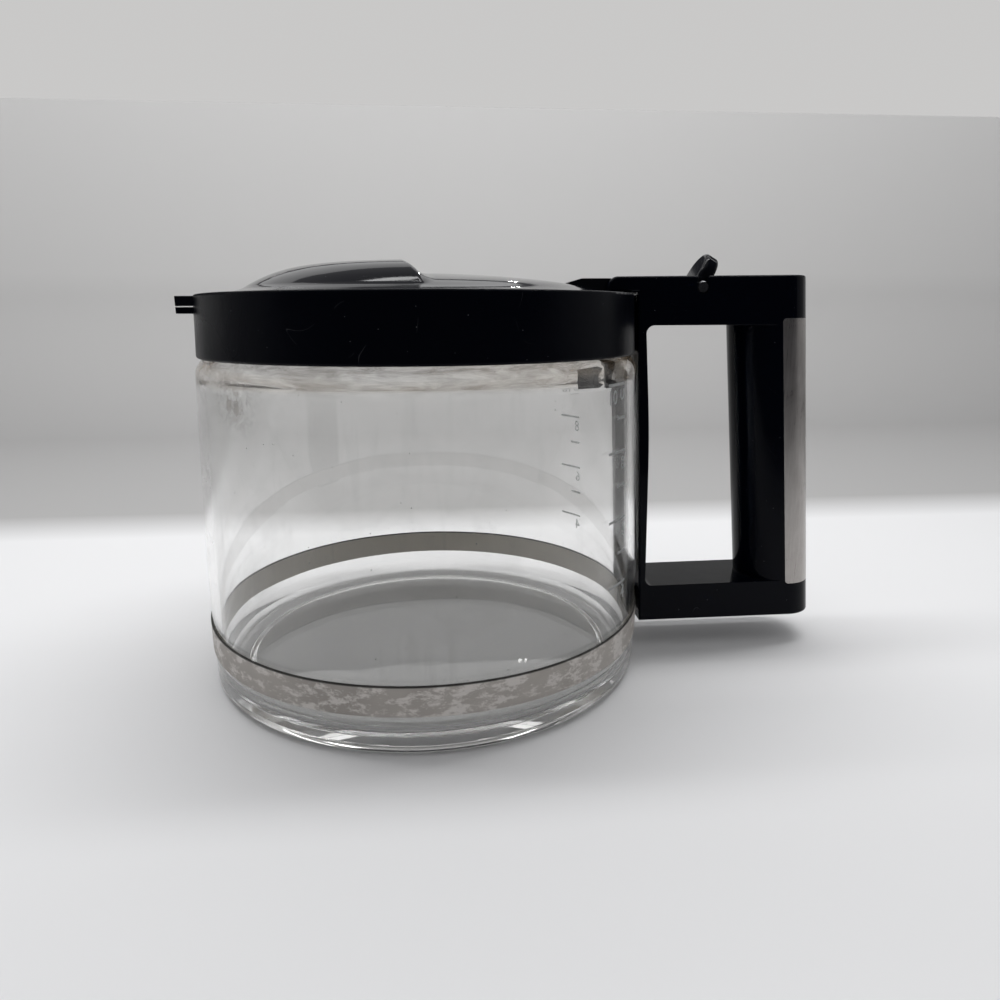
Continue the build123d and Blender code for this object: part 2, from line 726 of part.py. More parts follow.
with BuildPart() as outer_form:
    add(lid_form())
    # the step runs into the low dome in a hollow curve, and its crest is rounded
    for radius, (low, high) in ((CREST_FILLET, CREST_HEIGHTS), (TROUGH_FILLET, TROUGH_HEIGHTS)):
        step_edges = outer_form.edges().filter_by_position(Axis.X, DOME_STEP[0][0], DOME_STEP[-1][0])
        fillet(step_edges.filter_by_position(Axis.Z, low, high).sort_by(SortBy.LENGTH)[-2:], radius)

inner_form = lid_form(LID_WALL)

with BuildPart() as lid_cover:
    add(outer_form.part)
    add(inner_form, mode=Mode.SUBTRACT)
    with BuildSketch(Plane.XY.offset(LID_DISC_TOP)):
        with Locations(*LID_SCREW_PLACES):
            Circle(SCREW_BOSS_RADIUS)
    extrude(amount=BIG)
    add(outer_form.part, mode=Mode.INTERSECT)
    with Locations((INLET_X, 0, LID_DISC_TOP)):
        Cylinder(INLET_RADIUS + INLET_WALL + INLET_GAP, BIG, mode=Mode.SUBTRACT)
        Cylinder(INLET_FLANGE_RADIUS + INLET_GAP, 2 * INLET_FLANGE_HEIGHT, mode=Mode.SUBTRACT)
    add(block((NOTCH_REACH, LID_RADIUS + OVERLAP), NOTCH_HALF_WIDTH, (0, BIG)), mode=Mode.SUBTRACT)
    with BuildSketch(Plane.XY):
        with Locations(*LID_SCREW_PLACES):
            Circle(TAPPING_SCREW_RADIUS)
    extrude(amount=LID_DISC_TOP + LID_SCREW_LENGTH, mode=Mode.SUBTRACT)
lid_cover.part.label = "lid_cover"
export_step(lid_cover.part, "parts/lid_cover.step")

with BuildPart() as lid_base:
    with BuildSketch(Plane.XY.offset(LID_DISC_BOTTOM)):
        Circle(LID_RADIUS)
    extrude(amount=LID_DISC_TOP - LID_DISC_BOTTOM)
    # upper half of the pouring lip
    with BuildSketch(Plane.XY.offset(LIP_SEAM_TOP)):
        Circle(LIP_RADIUS)
        Circle(LID_RADIUS - OVERLAP, mode=Mode.SUBTRACT)
        with Locations((-LIP_RADIUS, 0)):
            Rectangle(LIP_RADIUS, 2 * LIP_HALF_WIDTH, mode=Mode.INTERSECT)
    extrude(amount=LIP_TOP - LIP_SEAM_TOP)
    # plug that reaches into the neck
    add(ring(PLUG_RADIUS - PLUG_WALL, PLUG_RADIUS, PLUG_BOTTOM, LID_DISC_BOTTOM))
    # way out of the plug and through the lip
    add(
        block(
            (-LIP_RADIUS - OVERLAP, -PLUG_RADIUS / 2),
            POUR_WINDOW_HALF_WIDTH,
            (POUR_WINDOW_BOTTOM, LID_DISC_BOTTOM),
        ),
        mode=Mode.SUBTRACT,
    )
    add(
        block(
            (-LIP_RADIUS - OVERLAP, -PLUG_RADIUS),
            LIP_HALF_WIDTH - LIP_WALL,
            (LIP_SEAM_BOTTOM, POUR_CEILING),
        ),
        mode=Mode.SUBTRACT,
    )
    # notch that lets the lid swing past the handle's nose
    add(
        block((NOTCH_REACH, LID_RADIUS + OVERLAP), NOTCH_HALF_WIDTH, (LID_DISC_BOTTOM, BIG)),
        mode=Mode.SUBTRACT,
    )
    with BuildSketch(Plane.XY):
        with Locations((INLET_X, 0)):
            Circle(INLET_RADIUS + INLET_WALL + INLET_GAP)
        with Locations(*LID_SCREW_PLACES):
            Circle(TAPPING_SCREW_RADIUS + TAPPING_SCREW_SLACK)
    extrude(amount=BIG, mode=Mode.SUBTRACT)
lid_base.part.label = "lid_base"
export_step(lid_base.part, "parts/lid_base.step")

with BuildPart() as inlet_funnel:
    with BuildSketch(Plane.XY.offset(INLET_BOTTOM)):
        with Locations((INLET_X, 0)):
            Circle(INLET_RADIUS + INLET_WALL)
    extrude(amount=INLET_TOP - INLET_BOTTOM)
    with BuildSketch(Plane.XY.offset(LID_DISC_TOP)):
        with Locations((INLET_X, 0)):
            Circle(INLET_FLANGE_RADIUS)
    extrude(amount=INLET_FLANGE_HEIGHT)
    with BuildSketch(Plane.XY.offset(INLET_BOTTOM)):
        with Locations((INLET_X, 0)):
            Circle(INLET_RADIUS)
    extrude(amount=BIG, mode=Mode.SUBTRACT)
    mouth = inlet_funnel.edges().filter_by(GeomType.CIRCLE).group_by(Axis.Z)[-1].sort_by(SortBy.RADIUS)[0]
    chamfer(mouth, INLET_MOUTH_CHAMFER)
inlet_funnel.part.label = "inlet_funnel"
export_step(inlet_funnel.part, "parts/inlet_funnel.step")

lean = radians(LEVER_LEAN)
lever_plane = Plane(
    origin=(LEVER_FOOT[0], 0, LEVER_FOOT[1]),
    x_dir=(0, 1, 0),
    z_dir=(cos(lean), 0, -sin(lean)),
)
with BuildPart() as lid_arm:
    with BuildSketch(lever_plane):
        with Locations((0, LEVER_HEIGHT - LEVER_WIDTH / 2)):
            Circle(LEVER_WIDTH / 2)
        with Locations((0, (LEVER_HEIGHT - LEVER_WIDTH / 2 - LEVER_ROOT) / 2)):
            Rectangle(LEVER_WIDTH, LEVER_HEIGHT - LEVER_WIDTH / 2 + LEVER_ROOT)
    extrude(amount=LEVER_THICKNESS)
    fillet(lid_arm.edges().filter_by(GeomType.CIRCLE), LEVER_EDGE)
    with BuildSketch(Plane.XZ):
        with BuildLine():
            FilletPolyline(
                (LID_ARM_START, LID_ARM_UNDERSIDE),
                (LID_ARM_START, LID_ARM_START_TOP),
                (LID_ARM_RISE_END, LID_ARM_TOP),
                (PIVOT_X, LID_ARM_TOP),
                (PIVOT_X, LID_ARM_HUB_UNDERSIDE),
                (LID_ARM_STEP, LID_ARM_HUB_UNDERSIDE),
                (LID_ARM_STEP, LID_ARM_UNDERSIDE),
                radius=[0, 0, LID_ARM_RISE_FILLET, 0, 0, LID_ARM_STEP_FILLET, 0],
                close=True,
            )
        make_face()
        with Locations((PIVOT_X, PIVOT_Z)):
            Circle(HUB_RADIUS)
    extrude(amount=LID_ARM_WIDTH / 2, both=True)
    with BuildSketch(Plane.XZ):
        with Locations((PIVOT_X, PIVOT_Z)):
            Circle(PIN_RADIUS + PIN_CLEARANCE)
    extrude(amount=LID_ARM_WIDTH, both=True, mode=Mode.SUBTRACT)
    add(outer_form.part, mode=Mode.SUBTRACT)
    with BuildSketch(Plane.XY):
        with Locations(*LID_SCREW_PLACES):
            Circle(TAPPING_SCREW_RADIUS)
    extrude(amount=LID_DISC_BOTTOM + LID_SCREW_LENGTH, mode=Mode.SUBTRACT)
lid_arm.part.label = "lid_arm"
export_step(lid_arm.part, "parts/lid_arm.step")

with BuildPart() as lid_screws:
    add(tapping_screw(LID_SCREW_PLACES, LID_DISC_BOTTOM - TAPPING_HEAD_HEIGHT, LID_SCREW_LENGTH))
lid_screws.part.label = "lid_screws"
export_step(lid_screws.part, "parts/lid_screws.step")
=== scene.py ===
"""Looks of the glass carafe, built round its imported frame.

Lengths are in metres. The glass and its print are drawn in millimetres and scaled by MM.
"""

from math import cos, pi, radians, sin, tan

import bmesh
import bpy
from mathutils import Matrix, Vector


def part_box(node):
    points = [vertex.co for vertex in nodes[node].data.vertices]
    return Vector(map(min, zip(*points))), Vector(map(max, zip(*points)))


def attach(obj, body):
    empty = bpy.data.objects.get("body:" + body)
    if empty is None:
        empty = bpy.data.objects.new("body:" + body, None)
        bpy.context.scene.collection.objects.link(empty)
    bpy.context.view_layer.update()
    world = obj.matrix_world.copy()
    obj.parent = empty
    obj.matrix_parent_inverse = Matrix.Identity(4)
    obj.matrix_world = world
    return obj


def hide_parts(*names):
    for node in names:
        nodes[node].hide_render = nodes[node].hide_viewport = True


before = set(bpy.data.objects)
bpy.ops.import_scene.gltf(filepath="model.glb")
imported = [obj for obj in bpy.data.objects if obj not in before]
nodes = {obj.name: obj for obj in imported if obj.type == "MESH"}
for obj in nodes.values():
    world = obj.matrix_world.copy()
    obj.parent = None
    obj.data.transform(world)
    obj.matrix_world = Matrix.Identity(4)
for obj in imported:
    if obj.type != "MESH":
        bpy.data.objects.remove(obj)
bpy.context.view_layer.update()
scene = bpy.context.scene

MM = 0.001

# --- camera -------------------------------------------------------------------------------

CAMERA_PLACE = Vector((3.9, -245.3, 114.1)) * MM
CAMERA_YAW = -5.0
CAMERA_PITCH = -14.1
CAMERA_ROLL = -0.27
CAMERA_LENS = 26.51
SENSOR_WIDTH = 36.0
CLIP_START = 0.005

camera_data = bpy.data.cameras.new("camera")
camera_data.lens = CAMERA_LENS
camera_data.sensor_width = SENSOR_WIDTH
camera_data.clip_start = CLIP_START
camera = bpy.data.objects.new("camera", camera_data)
scene.collection.objects.link(camera)
camera.matrix_world = (
    Matrix.Translation(CAMERA_PLACE)
    @ Matrix.Rotation(radians(CAMERA_YAW), 4, "Z")
    @ Matrix.Rotation(radians(90 + CAMERA_PITCH), 4, "X")
    @ Matrix.Rotation(radians(CAMERA_ROLL), 4, "Z")
)
scene.camera = camera
scene.view_settings.view_transform = "Standard"


# --- shader helpers -----------------------------------------------------------------------

class Shader:
    """One material's node tree, with short ways to add the nodes used here."""

    def __init__(self, name):
        self.material = bpy.data.materials.new(name)
        self.material.use_nodes = True
        self.tree = self.material.node_tree
        self.bsdf = self.tree.nodes["Principled BSDF"]
        self.place = self.add("ShaderNodeTexCoord").outputs["Object"]

    def add(self, kind, **settings):
        node = self.tree.nodes.new(kind)
        for key, value in settings.items():
            setattr(node, key, value)
        return node

    def link(self, out, into):
        self.tree.links.new(out, into)

    def put(self, **values):
        """Constants on the shader's own sockets. An underscore in a name stands for a space."""
        for key, value in values.items():
            self.bsdf.inputs[key.replace("_", " ")].default_value = value

    def drive(self, **outputs):
        """Outputs that feed the shader's own sockets, named as in put."""
        for key, out in outputs.items():
            self.link(out, self.bsdf.inputs[key.replace("_", " ")])

    def show(self, out):
        """Use this shader, not the bare Principled one, as the surface."""
        self.link(out, self.tree.nodes["Material Output"].inputs["Surface"])

    def scaled(self, factors):
        node = self.add("ShaderNodeMapping")
        node.inputs["Scale"].default_value = factors
        self.link(self.place, node.inputs["Vector"])
        return node.outputs["Vector"]

    def noise(self, scale=1.0, detail=3.0, roughness=0.5, distortion=0.0, place=None):
        node = self.add("ShaderNodeTexNoise")
        for key, value in (
            ("Scale", scale),
            ("Detail", detail),
            ("Roughness", roughness),
            ("Distortion", distortion),
        ):
            node.inputs[key].default_value = value
        self.link(self.place if place is None else place, node.inputs["Vector"])
        return node.outputs["Fac"]

    def specks(self, scale, size, share):
        """1 inside small dots of that size, in the given share of the cells, else 0."""
        node = self.add("ShaderNodeTexVoronoi")
        node.inputs["Scale"].default_value = scale
        self.link(self.place, node.inputs["Vector"])
        dot = self.span(node.outputs["Distance"], size, size * 0.6)
        pick = self.add("ShaderNodeSeparateColor")
        self.link(node.outputs["Color"], pick.inputs["Color"])
        chosen = self.span(pick.outputs["Red"], share, share * 0.98)
        return self.math("MULTIPLY", dot, chosen)

    def span(self, value, low, high, to_low=0.0, to_high=1.0):
        """Map value from low..high to to_low..to_high, clamped."""
        node = self.add("ShaderNodeMapRange")
        for key, number in (
            ("From Min", low),
            ("From Max", high),
            ("To Min", to_low),
            ("To Max", to_high),
        ):
            node.inputs[key].default_value = number
        self.link(value, node.inputs["Value"])
        return node.outputs["Result"]

    def math(self, operation, *values):
        node = self.add("ShaderNodeMath", operation=operation)
        for value, socket in zip(values, node.inputs):
            if isinstance(value, (int, float)):
                socket.default_value = value
            else:
                self.link(value, socket)
        return node.outputs["Value"]

    def away_from(self, point):
        node = self.add("ShaderNodeVectorMath", operation="DISTANCE")
        self.link(self.place, node.inputs[0])
        node.inputs[1].default_value = point
        return node.outputs["Value"]

    def away_from_axis(self):
        node = self.add("ShaderNodeVectorMath", operation="LENGTH")
        self.link(self.scaled((1.0, 1.0, 0.0)), node.inputs[0])
        return node.outputs["Value"]

    def axis(self, name):
        node = self.add("ShaderNodeSeparateXYZ")
        self.link(self.place, node.inputs["Vector"])
        return node.outputs[name]

    def mix(self, factor, a, b):
        """Colour a where factor is 0 and b where it is 1."""
        node = self.add("ShaderNodeMix", data_type="RGBA")
        self.link(factor, node.inputs["Factor"])
        for value, socket in ((a, node.inputs["A"]), (b, node.inputs["B"])):
            if isinstance(value, tuple):
                socket.default_value = (*value, 1.0)
            else:
                self.link(value, socket)
        return node.outputs["Result"]

    def blend(self, factor, a, b):
        """Shader a where factor is 0 and b where it is 1."""
        node = self.add("ShaderNodeMixShader")
        if isinstance(factor, float):
            node.inputs[0].default_value = factor
        else:
            self.link(factor, node.inputs[0])
        self.link(a, node.inputs[1])
        self.link(b, node.inputs[2])
        return node.outputs[0]

    def coat(self, kind, colour):
        """A plain diffuse or translucent shader of that colour."""
        node = self.add(kind)
        self.link(colour, node.inputs["Color"])
        return node.outputs[0]

    def bump(self, height, strength, distance, edge_radius=0.0):
        """Relief, on edges that are rounded by edge_radius."""
        node = self.add("ShaderNodeBump")
        if edge_radius:
            edge = self.add("ShaderNodeBevel", samples=4)
            edge.inputs["Radius"].default_value = edge_radius
            self.link(edge.outputs["Normal"], node.inputs["Normal"])
        node.inputs["Strength"].default_value = strength
        node.inputs["Distance"].default_value = distance
        self.link(height, node.inputs["Height"])
        return node.outputs["Normal"]


def dress(node_name, shader):
    """Give a CAD node's only material slot a finished material."""
    nodes[node_name].material_slots[0].material = shader.material


# --- plastics -----------------------------------------------------------------------------

BLUE_BLACK = (0.0007, 0.0012, 0.0035)
LID_BLACK = (0.003, 0.0034, 0.0055)
DUST_GREY = (0.10, 0.10, 0.105)
PEEL_DEPTH = 0.0004
EDGE_RADIUS = 0.0004


def moulded_plastic(name, colour, gloss, index, dust, peel):
    """Glossy moulded plastic: smears in its gloss, hairline scratches, orange peel and dust."""
    s = Shader(name)
    smears = s.noise(38.0, detail=4.0, roughness=0.6, distortion=0.8)

    motes = s.specks(900.0, size=0.13, share=dust)
    # a scratch runs where a slow noise passes its middle value, and another noise breaks it up
    slow = s.noise(46.0, detail=1.0, roughness=0.3, distortion=0.6)
    off_line = s.math("ABSOLUTE", s.math("SUBTRACT", slow, 0.5))
    scratch = s.span(off_line, 0.0009, 0.0002)
    broken = s.span(s.noise(120.0, detail=2.0), 0.60, 0.66, 0.0, 0.3)
    wear = s.math("MAXIMUM", motes, s.math("MULTIPLY", scratch, broken))

    fine = s.math("MULTIPLY", s.noise(2600.0, detail=2.0), 0.25)
    orange_peel = s.math("ADD", s.noise(260.0, detail=2.0), fine)
    s.put(IOR=index)
    s.drive(
        Base_Color=s.mix(wear, colour, DUST_GREY),
        Roughness=s.span(smears, 0.35, 0.72, *gloss),
        Normal=s.bump(orange_peel, peel, PEEL_DEPTH, EDGE_RADIUS),
    )
    return s


shell_plastic = moulded_plastic(
    "shell_plastic", BLUE_BLACK, gloss=(0.08, 0.20), index=1.17, dust=0.04, peel=0.04
)
collar_plastic = moulded_plastic(
    "collar_plastic", BLUE_BLACK, gloss=(0.26, 0.38), index=1.16, dust=0.08, peel=0.10
)
lid_plastic = moulded_plastic(
    "lid_plastic", LID_BLACK, gloss=(0.04, 0.09), index=1.26, dust=0.08, peel=0.012
)


# --- steels -------------------------------------------------------------------------------

SCUFF_DEPTH = 0.0002
STRAP_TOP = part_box("base_band")[1][2]
STRAP_MIDDLE_RADIUS = 0.07145
STRAP_GAP_SHADE_WIDTH = 0.0006


def brushed_steel(name, dark, light, stretch, gloss):
    """Steel brushed along the axis whose stretch factor is small."""
    s = Shader(name)
    lines = s.noise(detail=4.0, roughness=0.65, place=s.scaled(stretch))
    cloud = s.noise(55.0, detail=4.0, roughness=0.6, distortion=0.6)
    tone = s.math("ADD", s.math("MULTIPLY", lines, 0.45), s.math("MULTIPLY", cloud, 0.55))
    s.put(Metallic=1.0)
    s.drive(
        Base_Color=s.mix(s.span(tone, 0.3, 0.7), dark, light),
        Roughness=s.span(tone, 0.3, 0.75, *gloss),
        Normal=s.bump(lines, 0.12, SCUFF_DEPTH),
    )
    return s


def stained_steel(name):
    """The strap: worn oxide stain with bare patches, a painted lighter inner face standing in for
    light through the glass, and a painted shade line along its upper edge.
    """
    s = Shader(name)
    patches = s.noise(
        detail=8.0, roughness=0.76, distortion=0.25, place=s.scaled((130.0, 130.0, 280.0))
    )
    fine = s.noise(700.0, detail=4.0, roughness=0.6, distortion=0.4)
    worn = s.math("ADD", patches, s.math("MULTIPLY", fine, 0.16))
    bare = s.span(worn, 0.585, 0.655, 0.0, 0.9)
    drift = s.span(s.noise(30.0, detail=4.0, roughness=0.6), 0.35, 0.65)
    stain = s.mix(drift, (0.36, 0.335, 0.31), (0.46, 0.43, 0.40))
    metal = s.mix(bare, stain, (0.63, 0.60, 0.57))

    # painted light: the inner face, seen through the glass, is lighter to stand in for light that
    # reaches it through the glass
    inside = s.span(s.away_from_axis(), STRAP_MIDDLE_RADIUS, STRAP_MIDDLE_RADIUS * 0.9999)
    metal = s.mix(inside, metal, (0.86, 0.81, 0.72))

    # painted shade: a dark line along the strap's top edge, where it meets the glass
    gap_shade = s.span(s.axis("Z"), STRAP_TOP - STRAP_GAP_SHADE_WIDTH, STRAP_TOP - STRAP_GAP_SHADE_WIDTH / 2)
    s.put(Metallic=0.35)
    s.drive(
        Base_Color=s.mix(gap_shade, metal, (0.03, 0.028, 0.025)),
        Roughness=s.span(bare, 0.0, 1.0, 0.60, 0.42),
        Normal=s.bump(fine, 0.2, SCUFF_DEPTH),
    )
    return s


trim_steel = brushed_steel(
    "trim_steel",
    dark=(0.33, 0.305, 0.29),
    light=(0.54, 0.52, 0.50),
    stretch=(2600.0, 2600.0, 45.0),
    gloss=(0.24, 0.40),
)
pin_steel = brushed_steel(
    "pin_steel",
    dark=(0.10, 0.10, 0.105),
    light=(0.16, 0.16, 0.165),
    stretch=(300.0, 3000.0, 300.0),
    gloss=(0.20, 0.32),
)
screw_steel = brushed_steel(
    "screw_steel",
    dark=(0.42, 0.41, 0.40),
    light=(0.62, 0.61, 0.60),
    stretch=(900.0, 900.0, 900.0),
    gloss=(0.28, 0.45),
)
band_steel = stained_steel("band_steel")


# --- glass, print and rubber --------------------------------------------------------------

GLASS_TINT = (0.985, 0.985, 0.98)
COFFEE_TINT = (0.985, 0.955, 0.91)
PALE_FILM = (0.86, 0.86, 0.85)
COFFEE_FILM = (0.50, 0.38, 0.26)
DRIED_COFFEE = (0.30, 0.22, 0.15)
SPLASH_PLACE = (-0.0485, -0.0495, 0.0935)


def clear_glass(name):
    """Blown glass with residue round its shoulder and at one splash, streaks and specks."""
    s = Shader(name)
    wave = s.noise(26.0, detail=2.0, place=s.scaled((1.0, 1.0, 0.55)))
    height = s.axis("Z")
    shoulder = s.math(
        "MULTIPLY", s.span(height, 0.0945, 0.1005), s.span(height, 0.1065, 0.1035)
    )

    # how much of the glass the dirt covers, and a faint pale film near the base that is painted
    # light
    rings = s.noise(detail=6.0, roughness=0.7, distortion=0.8, place=s.scaled((70.0, 70.0, 420.0)))
    crust = s.math("MULTIPLY", s.span(rings, 0.44, 0.72, 0.0, 0.62), shoulder)
    runs = s.noise(detail=4.0, roughness=0.6, distortion=0.4, place=s.scaled((150.0, 150.0, 14.0)))
    streaks = s.span(runs, 0.60, 0.82, 0.0, 0.14)
    cloud = s.noise(30.0, detail=5.0, roughness=0.65, distortion=0.8)
    haze = s.span(cloud, 0.52, 0.78, 0.0, 0.10)
    motes = s.math("MULTIPLY", s.specks(380.0, size=0.10, share=0.12), 0.45)
    spatter = s.noise(260.0, detail=5.0, roughness=0.75, distortion=0.5)
    splash = s.math(
        "MULTIPLY",
        s.span(s.away_from(SPLASH_PLACE), 0.013, 0.002),
        s.span(spatter, 0.44, 0.62, 0.0, 0.55),
    )
    # painted light: a faint pale film near the base, lightening the base where light through the
    # glass is missing
    painted_base_film = s.span(height, 0.014, 0.007, 0.0, 0.05)
    cover = crust
    for layer in (streaks, haze, motes, splash, painted_base_film):
        cover = s.math("MAXIMUM", cover, layer)

    # coffee browns the shoulder, the specks and the splash
    coffee = s.math("MULTIPLY", s.span(s.noise(17.0), 0.62, 0.42, 0.3, 1.0), shoulder)
    film = s.mix(coffee, PALE_FILM, COFFEE_FILM)
    dried = s.math("MAXIMUM", motes, s.math("MULTIPLY", splash, 1.6))
    s.put(IOR=1.48, Roughness=0.0, Transmission_Weight=1.0)
    s.drive(
        Base_Color=s.mix(coffee, GLASS_TINT, COFFEE_TINT),
        Normal=s.bump(wave, 0.10, 0.0012),
    )
    front = s.coat("ShaderNodeBsdfDiffuse", s.mix(dried, film, DRIED_COFFEE))
    through = s.coat("ShaderNodeBsdfTranslucent", film)
    s.show(s.blend(cover, s.bsdf.outputs[0], s.blend(0.5, front, through)))
    return s


def enamel(name):
    """Baked white print on the glass, thin enough to glow when lit from behind."""
    s = Shader(name)
    wear = s.span(s.noise(900.0), 0.35, 0.7)
    tone = s.mix(wear, (0.74, 0.75, 0.75), (0.56, 0.57, 0.57))
    s.drive(Base_Color=tone, Roughness=s.span(wear, 0.0, 1.0, 0.30, 0.50))
    s.show(s.blend(0.65, s.bsdf.outputs[0], s.coat("ShaderNodeBsdfTranslucent", tone)))
    return s


def soft_rubber(name):
    s = Shader(name)
    s.drive(
        Base_Color=s.mix(s.noise(80.0), (0.018, 0.018, 0.02), (0.04, 0.039, 0.038)),
        Roughness=s.span(s.noise(300.0), 0.3, 0.7, 0.6, 0.8),
        Normal=s.bump(s.noise(1500.0), 0.1, SCUFF_DEPTH),
    )
    return s


jug_glass = clear_glass("jug_glass")
print_enamel = enamel("print_enamel")
seal_rubber = soft_rubber("seal_rubber")

for node_name, shader in (
    ("neck_seal", seal_rubber),
    ("collar_ring", collar_plastic),
    ("handle_frame", shell_plastic),
    ("foot_cover", shell_plastic),
    ("grip_trim", trim_steel),
    ("base_band", band_steel),
    ("collar_screw", screw_steel),
    ("band_clamp_screw", screw_steel),
    ("band_clamp_nut", screw_steel),
    ("hinge_pin", pin_steel),
    ("lid_cover", lid_plastic),
    ("lid_base", lid_plastic),
    ("inlet_funnel", lid_plastic),
    ("lid_arm", lid_plastic),
    ("lid_screws", screw_steel),
):
    dress(node_name, shader)


# --- mesh helpers -------------------------------------------------------------------------

ARC_STEP = 7
FEWEST_ARC_STEPS = 4
ON_AXIS = 1e-6


def finished(name, mesh, shader, body):
    """Object for a mesh, with its material, riding on a body."""
    mesh.materials.append(shader.material)
    piece = bpy.data.objects.new(name, mesh)
    scene.collection.objects.link(piece)
    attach(piece, body)
    return piece


def mesh_from(maker, name):
    """Mesh of what the bmesh holds, with its normals turned outwards."""
    bmesh.ops.recalc_face_normals(maker, faces=maker.faces)
    mesh = bpy.data.meshes.new(name)
    maker.to_mesh(mesh)
    maker.free()
    return mesh


def rounded(corners):
    """Points along (radius, height, fillet) corners, with each fillet as a fine arc."""
    points = []
    last = len(corners) - 1
    for i, (r, z, fillet) in enumerate(corners):
        here = Vector((r, z))
        if fillet == 0 or i in (0, last):
            points.append(here)
            continue
        before = (Vector(corners[i - 1][:2]) - here).normalized()
        after = (Vector(corners[i + 1][:2]) - here).normalized()
        half = before.angle(after) / 2
        reach = fillet / tan(half)
        centre = here + (before + after).normalized() * (fillet / sin(half))
        start = here + before * reach - centre
        turn = start.angle_signed(here + after * reach - centre)
        steps = max(FEWEST_ARC_STEPS, int(abs(turn) / radians(ARC_STEP)))
        for k in range(steps + 1):
            spoke = start.copy()
            spoke.rotate(Matrix.Rotation(-turn * k / steps, 2))
            points.append(centre + spoke)
    return points


def ring_of_vertices(maker, radius, height, segments):
    """Vertices round the Z axis, or a single one where the radius is nought."""
    if radius < ON_AXIS:
        return [maker.verts.new((0, 0, height))]
    turns = [2 * pi * k / segments for k in range(segments)]
    return [maker.verts.new((radius * cos(t), radius * sin(t), height)) for t in turns]


def lathe(name, points, segments):
    """Smooth mesh of (radius, height) points turned round the Z axis."""
    maker = bmesh.new()
    rings = [ring_of_vertices(maker, *point, segments) for point in points]
    for low, high in zip(rings, rings[1:]):
        for k in range(segments):
            low_pair = [low[k % len(low)], low[(k + 1) % len(low)]]
            high_pair = [high[(k + 1) % len(high)], high[k % len(high)]]
            maker.faces.new(list(dict.fromkeys(low_pair + high_pair)))
    mesh = mesh_from(maker, name)
    for face in mesh.polygons:
        face.use_smooth = True
    return mesh


# --- glass --------------------------------------------------------------------------------

GLASS_WALL = 2.4
FOOT_RADIUS = 71.2
FOOT_TOP = 38.0
SHOULDER_RADIUS = 68.8
SHOULDER_HEIGHT = 101.0
NECK_RADIUS = 64.3
NECK_HEIGHT = 103.6
RIM_HEIGHT = 115.5
RIM_FILLET = 1.1
FLOOR_TOP = 5.2
PUNT_HEIGHT = 1.8
PUNT_RADIUS = 59.3
PUNT_FILLET = 0.8
STANDING_RADIUS = 61.5
HEEL_FILLET = 4.0
INNER_HEEL_FILLET = 5.0
WALL_BLEND = 300.0
SHOULDER_FILLET = 7.5
NECK_FILLET = 1.5
INNER_NECK_RISE = 1.4
INNER_NECK_FILLET = 6.0
INNER_SHOULDER_DROP = 4.5
INNER_SHOULDER_FILLET = 12.0
GLASS_SEGMENTS = 288
FACE_AREA_WEIGHT = 100

outer_corners = [
    (0, PUNT_HEIGHT, 0),
    (PUNT_RADIUS, PUNT_HEIGHT, PUNT_FILLET),
    (STANDING_RADIUS, 0, PUNT_FILLET),
    (FOOT_RADIUS, 0, HEEL_FILLET),
    (FOOT_RADIUS, FOOT_TOP, WALL_BLEND),
    (SHOULDER_RADIUS, SHOULDER_HEIGHT, SHOULDER_FILLET),
    (NECK_RADIUS, NECK_HEIGHT, NECK_FILLET),
    (NECK_RADIUS, RIM_HEIGHT, RIM_FILLET),
]
inner_corners = [
    (NECK_RADIUS - GLASS_WALL, RIM_HEIGHT, RIM_FILLET),
    (NECK_RADIUS - GLASS_WALL, NECK_HEIGHT + INNER_NECK_RISE, INNER_NECK_FILLET),
    (SHOULDER_RADIUS - GLASS_WALL, SHOULDER_HEIGHT - INNER_SHOULDER_DROP, INNER_SHOULDER_FILLET),
    (FOOT_RADIUS - GLASS_WALL, FOOT_TOP, WALL_BLEND),
    (FOOT_RADIUS - GLASS_WALL, FLOOR_TOP, INNER_HEEL_FILLET),
    (0, FLOOR_TOP, 0),
]
jug_line = [point * MM for point in rounded(outer_corners + inner_corners)]
jug = finished("jug", lathe("jug", jug_line, GLASS_SEGMENTS), jug_glass, "jug")
weighted = jug.modifiers.new("weighted", "WEIGHTED_NORMAL")
weighted.weight = FACE_AREA_WEIGHT
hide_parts("glass_jug")


def glass_radius(z):
    """Outer radius of the glass wall at height z, in millimetres."""
    share = (z - FOOT_TOP) / (SHOULDER_HEIGHT - FOOT_TOP)
    return FOOT_RADIUS + max(share, 0) * (SHOULDER_RADIUS - FOOT_RADIUS)


# --- printed scale ------------------------------------------------------------------------

# heights of the marks for 4 to 10 cups, and each strip's start in degrees from the handle
MARK_HEIGHTS = [36.5, 46.1, 56.2, 66.1, 76.1, 85.7, 95.2]
FIRST_CUPS = 4
STRIP_START = {-1: 33.3, 1: 29.0}

PRINT_LIFT = 0.06
PRINT_COAT = 0.05
MARK_THICKNESS = 0.75
LONG_MARK = 8.8
SHORT_MARK = 4.3
MARK_STEPS = 6
DIGIT_DROP = 1.4
DIGIT_HEIGHT = 4.0
DIGIT_START = 0.2
TEN_START = 4.6
CUP_SIGN_HEIGHT = 3.1
CUP_SIGN_START = 0.4
CAPITAL_SHARE = 0.70
LETTER_STEPS = 3


def on_glass(angle, z):
    """Point just outside the glass at an angle in degrees and a height in millimetres."""
    r = glass_radius(z) + PRINT_LIFT
    return Vector((r * cos(radians(angle)), r * sin(radians(angle)), z)) * MM


def print_mark(maker, side, length, z):
    """Curved mark from the strip's start to length degrees beyond it."""
    columns = []
    for k in range(MARK_STEPS + 1):
        angle = side * (STRIP_START[side] + length * k / MARK_STEPS)
        ends = (z - MARK_THICKNESS / 2, z + MARK_THICKNESS / 2)
        columns.append([maker.verts.new(on_glass(angle, end)) for end in ends])
    for a, b in zip(columns, columns[1:]):
        maker.faces.new((a[0], b[0], b[1], a[1]))


